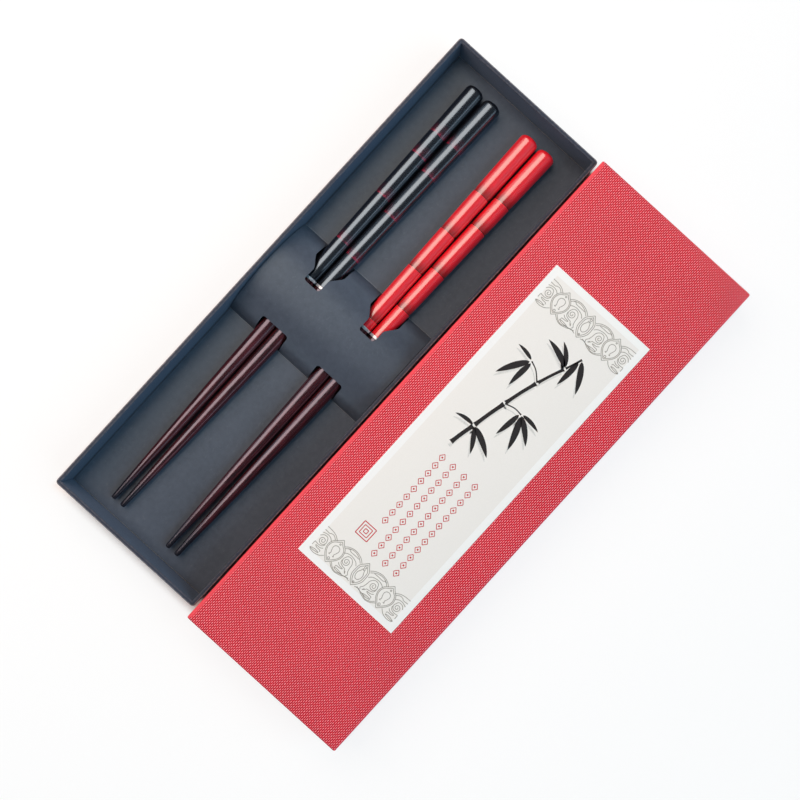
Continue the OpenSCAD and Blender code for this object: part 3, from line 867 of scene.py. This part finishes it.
def opening_sides():
    """Half width of the openings along the tray, from the tip fold to the head fold. The corners are
    quarter circles, and the shoulders a straight taper mixed with some of half a cosine wave, which eases
    its ends."""
    c = settings("insert_sizes")
    eased = np.linspace(0, TURN / 4, 7)
    corner_y, corner_x = c.ease * (1 - np.cos(eased)), c.ease * (1 - np.sin(eased))
    step = np.linspace(0, 1, 13)
    neck_y = c.head_full - c.shoulder
    end_y = neck_y - c.neck_l
    eased_share = 0.35
    wave = (1 - np.cos(math.pi * step)) / 2
    taper = (1 - eased_share) * step + eased_share * wave
    shoulder = c.neck_w / 2 + (c.head_open - c.neck_w) / 2 * taper
    y = np.concatenate([
        [c.middle - c.chord / 2], c.tip_full - corner_y[::-1], end_y + corner_y,
        neck_y + c.shoulder * step, [c.middle + c.chord / 2]])
    half = np.concatenate([
        [c.tip_open / 2], c.tip_open / 2 - corner_x[::-1], c.neck_w / 2 - corner_x,
        shoulder, [c.head_open / 2]])
    return y, half, end_y


def insert_sheet():
    """The scored card as a height over the tray's plan. Rows lie along Y; columns run from edge to edge and
    bend round the openings, whose quads are left out. Returns the points, quads, thickness and score line."""
    c = settings("insert_sizes")
    low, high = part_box("insert_card")
    side_y, half, end_y = opening_sides()
    folds = c.middle + np.array([-1, 1]) * c.chord / 2
    arch = c.middle + c.chord / 2 * np.sin(np.linspace(-TURN / 4, TURN / 4, 81))
    score = (folds[:, None] + c.score / 2 * np.linspace(-1, 1, 5)).ravel()
    flats = np.concatenate([np.linspace(low.y, folds[0], 12), np.linspace(folds[1], high.y, 12)])
    # Rows that agree to a nanometre become one
    y = np.unique(np.round(np.concatenate([flats, arch, score, side_y, folds]), 9))
    open_half = np.interp(y, side_y, half)
    stops = np.stack([y * 0 + low.x, -c.pair_x - open_half, -c.pair_x + open_half,
                      c.pair_x - open_half, c.pair_x + open_half, y * 0 + high.x], -1)
    bands, steps = 5, 6
    band = np.repeat(np.arange(bands), steps)
    part = np.tile(np.arange(steps) / steps, bands)
    x = stops[:, band] + (stops[:, band + 1] - stops[:, band]) * part
    x = np.concatenate([x, stops[:, -1:]], 1)
    height, way = bridge_height(y)
    points = np.dstack([x, np.broadcast_to(y[:, None], x.shape),
                        np.broadcast_to(low.z + c.card + height[:, None], x.shape)])
    middle_y = (y[1:] + y[:-1]) / 2
    cut = (middle_y < c.tip_full) & (middle_y > folds[0]) | (middle_y > end_y) & (middle_y < folds[1])
    keep = ~(cut[:, None] & (band % 2 == 1)[None, :])
    faces = quads(*x.shape)[keep.ravel()]
    offset = np.repeat(way[:, None] * c.card, x.shape[1], 1).reshape(-1, 3)
    near = np.abs(y[:, None] - folds).min(1)
    pale = np.clip(1 - near / (c.score / 2), 0, 1)
    return points.reshape(-1, 3), faces, offset, np.repeat(pale, x.shape[1])


def through(points, steps=8, closed=False):
    """A smooth path through points: between two of them a cubic whose ends run parallel to the chords of
    their neighbours."""
    p = np.array(points, float)
    before, after = np.roll(p, 1, 0), np.roll(p, -1, 0)
    if not closed:
        before[0], after[-1] = 2 * p[0] - p[1], 2 * p[-1] - p[-2]
    slope = (after - before) / 2
    nxt = np.arange(1, len(p) + 1) % len(p) if closed else np.arange(1, len(p))
    now = np.arange(len(nxt))
    t = np.linspace(0, 1, steps, endpoint=False)[None, :, None]
    a, b, m, n = p[now][:, None], p[nxt][:, None], slope[now][:, None], slope[nxt][:, None]
    curve = (a * (2 * t ** 3 - 3 * t ** 2 + 1) + m * (t ** 3 - 2 * t ** 2 + t)
             + b * (3 * t ** 2 - 2 * t ** 3) + n * (t ** 3 - t ** 2))
    last = p[:1] if closed else p[-1:]
    return np.concatenate([curve.reshape(-1, 2), last])


def circle_arc(middle, radius, start, end, steps=20):
    """Points round a middle from one angle to another, in degrees, at a radius that may change on the way."""
    a = np.radians(np.linspace(start, end, steps))
    r = np.linspace(*np.broadcast_to(radius, 2), steps)
    return np.array(middle) + r[:, None] * np.stack([np.cos(a), np.sin(a)], -1)


def strip(path, width, low, high, first):
    """A flat strip of ink: a profile of five corners, two below, two above at the sides and one above in
    the middle, carried along a path with the given width at each point. Returns the points and the faces,
    whose corners are counted from the given first one."""
    way = np.gradient(path, axis=0)
    way /= np.linalg.norm(way, axis=1)[:, None]
    side = np.stack([-way[:, 1], way[:, 0]], -1) * (np.broadcast_to(width, len(path)) / 2)[:, None]
    flat = np.stack([path + side, path - side, path - side, path, path + side], 1)
    level = np.broadcast_to([low, low, high, high, high], flat.shape[:2])
    points = np.dstack([flat, level])
    start = first + np.arange(5)
    end = start + 5 * (len(path) - 1)
    return points.reshape(-1, 3), (first + ringed(points)).tolist() + [start[::-1].tolist(), end.tolist()]


def add_print(name, strokes, level, finish):
    """One printed piece of many strips, each a path and its widths in millimetres from the label's middle.
    It stands up by a level, a share of the ink's height. The core value is 1 along the middle of each
    strip."""
    low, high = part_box("lid_label")
    ink = settings("label_sizes").ink
    middle = np.array((low + high) / 2)[:2]
    top = high.z - ink
    points, faces, count = [], [], 0
    for path, width in strokes:
        corners, sides = strip(path * MM + middle, np.asarray(width) * MM, top - ink / 4,
                               top + level * ink, count)
        points.append(corners)
        faces += sides
        count += len(corners)
    core = np.tile([0, 0, 0, 1, 0], count // 5)
    return add_piece(name, np.concatenate(points), faces, finish, "lid", values={"core": core}, crease=60)


def mirrored(paths):
    """Each path and its mirror image across the band's middle."""
    return [path * [sign, 1] for path in paths for sign in (1, -1)]


def scroll_band():
    """Paths of one scroll band in millimetres: three pointed cartouches joined by double arches, with a
    spiral in each bay and another at each end."""
    half = [
        # Middle cartouche: two outlines and a vase
        through([(0, 5.8), (1.1, 4.5), (2.5, 2.7), (2.8, 0.4), (2.7, -1.8), (1.6, -3.9), (0, -5.6)]),
        through([(0, 4.9), (0.8, 3.7), (1.9, 2.3), (2.1, 0.3), (2.0, -1.6), (1.2, -3.3), (0, -4.7)]),
        through([(0.5, 2.3), (0.75, 1.5), (1.35, 0.2), (1.25, -1.3), (0.6, -2.3), (0, -2.5)]),
        through([(0, 2.0), (0.3, 2.5), (0.7, 2.5)], 4),
        # Double arches from the middle to the outer cartouches
        through([(2.2, 3.7), (4.2, 5.1), (7.2, 5.8), (10, 5.2), (11.7, 4.0)]),
        through([(2.7, 3.2), (4.6, 4.6), (7.2, 5.3), (9.6, 4.8), (11.1, 3.6)]),
        through([(4.2, 4.1), (6.2, 4.15), (8.6, 4.15), (9.2, 4.6), (10.1, 4.4)]),
        through([(3.3, 1.3), (4.6, 2.5), (7.0, 3.1), (9.0, 2.8), (10.3, 2.0)]),
        # Spiral in the bay, with its stalk and leaf
        circle_arc((7.25, 0), (0.25, 1.75), 100, 740, 46),
        through([(8.9, 0.6), (8.0, 2.1), (6.2, 2.2), (4.9, 0.8), (4.6, -1.0), (4.2, -2.6), (3.5, -3.6),
                 (3.9, -4.3)]),
        through([(9.1, -0.4), (8.6, -1.7), (7.2, -2.3), (6.0, -2.5), (5.5, -3.2), (4.7, -3.9), (5.2, -3.0)]),
        through([(9.5, -2.2), (8.4, -2.9), (6.6, -3.1), (7.6, -3.6), (9.2, -3.7), (9.5, -4.3)]),
        # Arches along the foot
        through([(2.3, -4.4), (4.2, -4.9), (6.0, -5.2), (8.2, -5.9), (10.2, -5.2), (11.6, -4.0)]),
        through([(1.6, -5.0), (3.6, -4.6), (5.4, -5.5), (8.2, -6.2), (10.4, -5.6), (12.1, -4.4)]),
        through([(5.6, -5.0), (7.6, -4.6), (9.6, -4.7), (8.4, -5.2), (6.4, -5.2)], closed=True),
        # End bay
        through([(15.4, 3.7), (17.4, 5.0), (19.6, 5.5), (22.1, 5.6)]),
        through([(16.1, 3.3), (17.7, 4.4), (19.2, 4.3), (19.8, 3.9), (22.1, 4.0)]),
        through([(17.0, 1.9), (18.4, 2.9), (20.2, 3.1), (22.1, 2.5)]),
        circle_arc((19.9, 0), (0.25, 1.75), 80, -560, 46),
        through([(18.3, 0.6), (19.1, 2.1), (20.9, 2.1), (22.1, 0.9)]),
        through([(18.0, -0.6), (18.7, -1.8), (20.2, -2.3), (22.1, -2.1)]),
        through([(17.7, -2.2), (18.8, -2.9), (20.8, -3.0), (20.0, -3.6), (18.2, -3.7), (17.9, -4.3)]),
        through([(15.6, -4.1), (17.2, -5.4), (19.3, -6.0), (21.2, -5.8), (22.1, -5.2)]),
        through([(18.0, -4.9), (20.0, -4.6), (22.1, -5.2), (20.2, -5.3)], closed=True),
        through([(22.1, -2.3), (22.1, -3.9)]),
    ]
    outer = mirrored([
        through([(0, 5.8), (1.3, 4.4), (3.1, 2.8), (3.8, 0.4), (3.2, -1.9), (1.7, -3.9), (0, -5.6)]),
        through([(0, 4.8), (1.0, 3.8), (2.7, 2.4), (3.3, 0.4), (2.8, -1.6), (1.4, -3.4), (0, -4.7)]),
        through([(0, 2.4), (1.1, 1.9), (1.5, 0.8), (1.1, -0.6), (0.8, -1.4), (1.2, -2.1), (0.6, -2.1)]),
    ])
    outer += [circle_arc((0, -3.6), 0.45, 0, 360), circle_arc((0, 3.5), 0.3, 0, 360, 12)]
    outer_x = 13.6
    paths = mirrored(half) + [circle_arc((0, 3.4), 0.45, 0, 360), circle_arc((0, -3.9), 0.3, 0, 360, 12)]
    for shift in (-outer_x, outer_x):
        paths += [path + [shift, 0] for path in outer]
    return paths


def leaf(base, heading, size, bend=0.0, steps=18):
    """A brushed bamboo leaf: a path that sets out from its base at a heading in degrees and turns by a
    bend, with a width that swells fast and runs out to a point."""
    slender, point = 0.462, 0.05
    t = np.linspace(0, 1, steps)
    way = np.radians(heading + bend * t)
    path = np.array(base) + np.cumsum(np.stack([np.cos(way), np.sin(way)], -1), 0) * size / steps
    return path, np.maximum(size * slender * t ** 0.55 * (1 - t) ** 0.85, point)


def stem(points, width):
    """A brushed stem: a smooth path that is pressed wider at its two ends, as bamboo is at its joints."""
    path = through(points, 10)
    t = np.linspace(-1, 1, len(path))
    return path, width * (0.82 + 0.3 * t ** 6)


def bamboo_sprig():
    """Strokes of a bamboo sprig in millimetres: a jointed stem, two side twigs and leaves in loose groups."""
    strokes = [
        stem([(-8.2, -30), (-7.2, -24.5), (-6.0, -19.5)], 2.0),
        stem([(-5.8, -18.7), (-4.4, -11.5), (-2.8, -4.8)], 1.9),
        stem([(-2.6, -4.0), (-0.8, 3.2), (1.2, 9.8)], 1.7),
        stem([(1.5, 10.6), (3.5, 16.2), (5.6, 21.4)], 1.4),
        stem([(5.9, 22.1), (7.2, 25.6), (8.4, 29)], 1.0),
        stem([(-2.6, -4.4), (1.6, -3.2), (5.2, -3.4)], 0.6),
        stem([(1.3, 10.2), (-2.4, 13.6), (-6.0, 15.2)], 0.6),
    ]
    for base, heading, size, bend in (
        ((5.2, -3.4), -62, 15, -14), ((5.0, -3.3), -30, 13, -20), ((4.6, -3.3), -95, 12.5, -6),
        ((5.4, -3.1), 6, 9.5, -24), ((-6.0, 15.2), -128, 15, 12), ((-5.6, 15.0), -98, 13, 8),
        ((-6.2, 15.3), 158, 8.5, 24), ((8.4, 29), -52, 14, -14), ((8.0, 28), -88, 13, -8),
        ((5.8, 21.8), 148, 13.5, 26), ((5.6, 21.6), 118, 11, 30), ((-5.9, -19), -16, 14, -22),
        ((-5.9, -19.2), 172, 9, 30), ((-5.8, -19), -48, 11.5, -16),
    ):
        strokes.append(leaf(base, heading, size, bend))
    return strokes


def outline(corners, width):
    """Strokes along the sides of a closed figure."""
    return [(np.linspace(a, b, 5), width) for a, b in zip(corners, np.roll(corners, -1, 0))]


def lozenge_columns():
    """Strokes of four columns of small lozenges, each with a dot in it, and a square of nested frets."""
    s = settings("label_sizes")
    pitch, half, line, dot = 4.2, (1.35, 1.62), 0.3, 0.7
    lozenge = np.array([(0, 1), (1, 0), (0, -1), (-1, 0)]) * half
    square = np.array([(1, 1), (-1, 1), (-1, -1), (1, -1)])
    strokes = []
    for x, rows in zip(s.columns, (9, 12, 12, 12)):
        for row in range(rows):
            spot = np.array([x, s.column_head]) / MM - [0, row * pitch]
            strokes += outline(lozenge + spot, line)
            strokes.append((np.linspace(spot - [dot / 2, 0], spot + [dot / 2, 0], 5), dot))
    for reach, thick in ((3.0, 0.4), (1.9, 0.35), (0.8, 0.35)):
        strokes += outline(np.array(s.seal) / MM + reach * square, thick)
    return strokes


def plan_middle(low, high, level):
    """Middle of a box in plan, at a level."""
    return np.array([(low.x + high.x) / 2, (low.y + high.y) / 2, level])


def add_turned(stick, look, part, slot, finish, along, radius, closed=False, **values):
    """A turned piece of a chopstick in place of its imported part. A closed profile has no ends on the axis,
    and values are given for each point of the profile."""
    points = turned(stick, along, radius)
    values = {key: np.repeat(data, points.shape[1]) for key, data in values.items()}
    add_piece(f"{stick}_{look}_{part}", points, ringed(points, across=closed), finish,
              f"{stick}_chopstick", [f"{stick}_{part}"], values)


class CASE_OT_tray(bpy.types.Operator):
    """Cover the tray with dark paper and finish what lies inside it"""
    bl_idname = "case.tray"
    bl_label = "Tray"

    def execute(self, context):
        b = settings("box_sizes")
        low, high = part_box("tray_wrap")
        # edge: how much paler the paper is painted, from wear and from a painted highlight on the rim and the
        # window-facing edges
        points, _, edge = box_cover(*(high - low), b.tray_corner, b.tray_edge, 0)
        add_piece("tray_cover", points + plan_middle(low, high, low.z), ringed(points), tray_paper(), "tray",
                  ["tray_wrap"], {"edge": edge})
        dress("tray_board", grey_board("tray"))
        dress_inside("tray")
        return {"FINISHED"}


class CASE_OT_lid(bpy.types.Operator):
    """Cover the lid with embossed red paper and finish what lies inside it"""
    bl_idname = "case.lid"
    bl_label = "Lid"

    def execute(self, context):
        b = settings("box_sizes")
        low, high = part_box("lid_wrap")
        form = *(high - low), b.lid_corner, b.lid_edge, b.lid_press
        mouth_down, top = np.array([1, 1, -1]), plan_middle(low, high, high.z)
        # edge: how much paler the paper is painted, from wear and from a painted highlight on the edges
        # facing the window
        points, sheet, edge = box_cover(*form)
        add_piece("lid_cover", points * mouth_down + top, ringed(points), lid_paper(), "lid",
                  ["lid_wrap"], {"sheet": sheet, "edge": edge})
        board = board_blank(*form)
        add_piece("lid_board_blank", board * mouth_down + top, ringed(board), grey_board("lid"), "lid",
                  ["lid_board"])
        dress_inside("lid")
        return {"FINISHED"}


class CASE_OT_insert(bpy.types.Operator):
    """Make the scored card with its bridge and openings"""
    bl_idname = "case.insert"
    bl_label = "Card insert"

    def execute(self, context):
        points, faces, offset, score = insert_sheet()
        points, faces = thickened(points, faces, offset)
        add_piece("insert_sheet", points, faces, insert_card(), "insert", ["insert_card"],
                  {"score": np.tile(score, 2)}, crease=25)
        return {"FINISHED"}


class CASE_OT_handles(bpy.types.Operator):
    """Turn the four lacquered handles"""
    bl_idname = "case.handles"
    bl_label = "Handles"

    def execute(self, context):
        lacquers = {"black": black_lacquer(), "red": red_lacquer()}
        for name in STICKS:
            pair = name.split("_")[0]
            along, radius, above = handle_profile(getattr(settings("stick_sizes"), name))
            add_turned(name, "lacquered", "handle", f"{pair}_lacquer", lacquers[pair], along, radius,
                       above_joint=above)
        return {"FINISHED"}


class CASE_OT_rings(bpy.types.Operator):
    """Turn the four metal rings"""
    bl_idname = "case.rings"
    bl_label = "Rings"

    def execute(self, context):
        metal = ring_metal()
        for name in STICKS:
            add_turned(name, "metal", "ring", "ring_metal", metal, *ring_profile(), closed=True)
        return {"FINISHED"}


class CASE_OT_shafts(bpy.types.Operator):
    """Turn the four wooden shafts"""
    bl_idname = "case.shafts"
    bl_label = "Shafts"

    def execute(self, context):
        wood = dark_wood()
        along, radius = shaft_profile()
        from_tip = settings("stick_sizes").stick_l - along
        for name in STICKS:
            add_turned(name, "wooden", "shaft", "dark_wood", wood, along, radius, from_tip=from_tip)
        return {"FINISHED"}


class CASE_OT_label(bpy.types.Operator):
    """Make the label, a sheet whose tinted panel lies inside a bare border"""
    bl_idname = "case.label"
    bl_label = "Label"

    def execute(self, context):
        s = settings("label_sizes")
        low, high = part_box("lid_label")
        blur = 0.08 * MM
        lines = []
        border = np.array([0, s.border, s.border + blur])
        for start, end in ((low.x, high.x), (low.y, high.y)):
            between = np.linspace(start, end, 9)[1:-1]
            lines.append(np.concatenate([start + border, between, (end - border)[::-1]]))
        x, y = np.meshgrid(*lines, indexing="ij")
        inside = [np.pad(np.ones(len(line) - 4), 2) for line in lines]
        top = high.z - s.ink
        points = np.stack([x, y, np.full(x.shape, top)], -1).reshape(-1, 3)
        points, faces = thickened(points, quads(*x.shape), np.array([0, 0, low.z - top]))
        panel = np.outer(*inside).ravel()
        add_piece("label_sheet", points, faces, label_paper(), "lid", ["lid_label"],
                  {"panel": np.tile(panel, 2)})
        return {"FINISHED"}


class CASE_OT_print(bpy.types.Operator):
    """Print the label: two scroll bands, a bamboo sprig with its shadow, and small red ornaments"""
    bl_idname = "case.print"
    bl_label = "Label print"

    def execute(self, context):
        s, f = settings("label_sizes"), settings("finishes")
        band = scroll_band()
        bands = [(path + [0, shift / MM], s.line / MM)
                 for shift in (s.head_band, s.foot_band) for path in band]
        add_print("label_scroll_bands", bands, 0.5, printing_ink("grey_ink", f.grey_ink))
        sprig = bamboo_sprig()
        spot, drop = np.array(s.sprig) / MM, np.array(s.shadow) / MM
        spread, blur = 1.15, 0.3
        add_print("label_sprig_shadow", [(p + spot + drop, w * spread + blur) for p, w in sprig], 0.4,
                  printing_ink("shadow_ink", f.shadow_ink, f.panel))
        add_print("label_bamboo_sprig", [(p + spot, w) for p, w in sprig], 1.0,
                  printing_ink("black_ink", f.black_ink))
        add_print("label_red_ornaments", lozenge_columns(), 0.5, printing_ink("red_ink", f.red_ink))
        return {"FINISHED"}


class CASE_OT_stage(bpy.types.Operator):
    """Set the pale table with its backdrop, the window and fill lights, the sky and the camera"""
    bl_idname = "case.stage"
    bl_label = "Stage"

    def execute(self, context):
        s = settings("stage_settings")
        scene = context.scene
        scene.view_settings.view_transform = "Standard"
        mesh = bpy.data.meshes.new("table")
        mesh.from_pydata(*table_sweep())
        mesh.shade_smooth()
        mesh.materials.append(bright_table())
        table = bpy.data.objects.new("table", mesh)
        scene.collection.objects.link(table)

        for name in ("window", "fill"):
            away, turn, height = (getattr(s, f"{name}_{key}") for key in ("away", "turn", "height"))
            lamp = bpy.data.lights.new(name, "AREA")
            lamp.shape = "RECTANGLE"
            lamp.size, lamp.size_y = getattr(s, f"{name}_size")
            lamp.energy = getattr(s, f"{name}_power")
            lamp.color = getattr(s, f"{name}_tint")
            light = bpy.data.objects.new(name, lamp)
            level, up = away * math.cos(height), away * math.sin(height)
            light.location = (level * math.cos(turn), level * math.sin(turn), up)
            light.rotation_euler = (0, math.pi / 2 - height, turn)
            light.visible_camera = False
            light.visible_glossy = name == "window"
            scene.collection.objects.link(light)

        world = bpy.data.worlds.new("sky")
        world.use_nodes = True
        sky = world.node_tree.nodes["Background"].inputs
        sky["Color"].default_value = (1, 1, 1, 1)
        sky["Strength"].default_value = s.sky
        scene.world = world

        view = bpy.data.cameras.new("camera")
        view.lens = s.lens / MM
        camera = bpy.data.objects.new("camera", view)
        camera.location = s.camera_at
        camera.rotation_euler = s.camera_turn
        scene.collection.objects.link(camera)
        scene.camera = camera
        return {"FINISHED"}


OPERATORS = (CASE_OT_tray, CASE_OT_lid, CASE_OT_insert, CASE_OT_handles, CASE_OT_rings, CASE_OT_shafts,
             CASE_OT_label, CASE_OT_print, CASE_OT_stage)


class CASE_PT_gift_case(bpy.types.Panel):
    """Pieces of the gift case"""
    bl_label = "Gift Case"
    bl_idname = "CASE_PT_gift_case"
    bl_space_type = "VIEW_3D"
    bl_region_type = "UI"
    bl_category = "Gift Case"

    def draw(self, context):
        for operator in OPERATORS:
            self.layout.operator(operator.bl_idname)


CLASSES = (*GROUPS.values(), *OPERATORS, CASE_PT_gift_case)


def register():
    """Adds the classes, and each group of values to the scene."""
    for cls in CLASSES:
        bpy.utils.register_class(cls)
    for group, cls in GROUPS.items():
        setattr(bpy.types.Scene, group, PointerProperty(type=cls))


def unregister():
    """Takes away what register added."""
    for group in GROUPS:
        delattr(bpy.types.Scene, group)
    for cls in reversed(CLASSES):
        bpy.utils.unregister_class(cls)


def main():
    """Builds the stage and every piece."""
    register()
    bpy.ops.case.stage()
    bpy.ops.case.tray()
    bpy.ops.case.lid()
    bpy.ops.case.insert()
    bpy.ops.case.handles()
    bpy.ops.case.rings()
    bpy.ops.case.shafts()
    bpy.ops.case.label()
    bpy.ops.case.print()


if __name__ == "__main__":
    main()
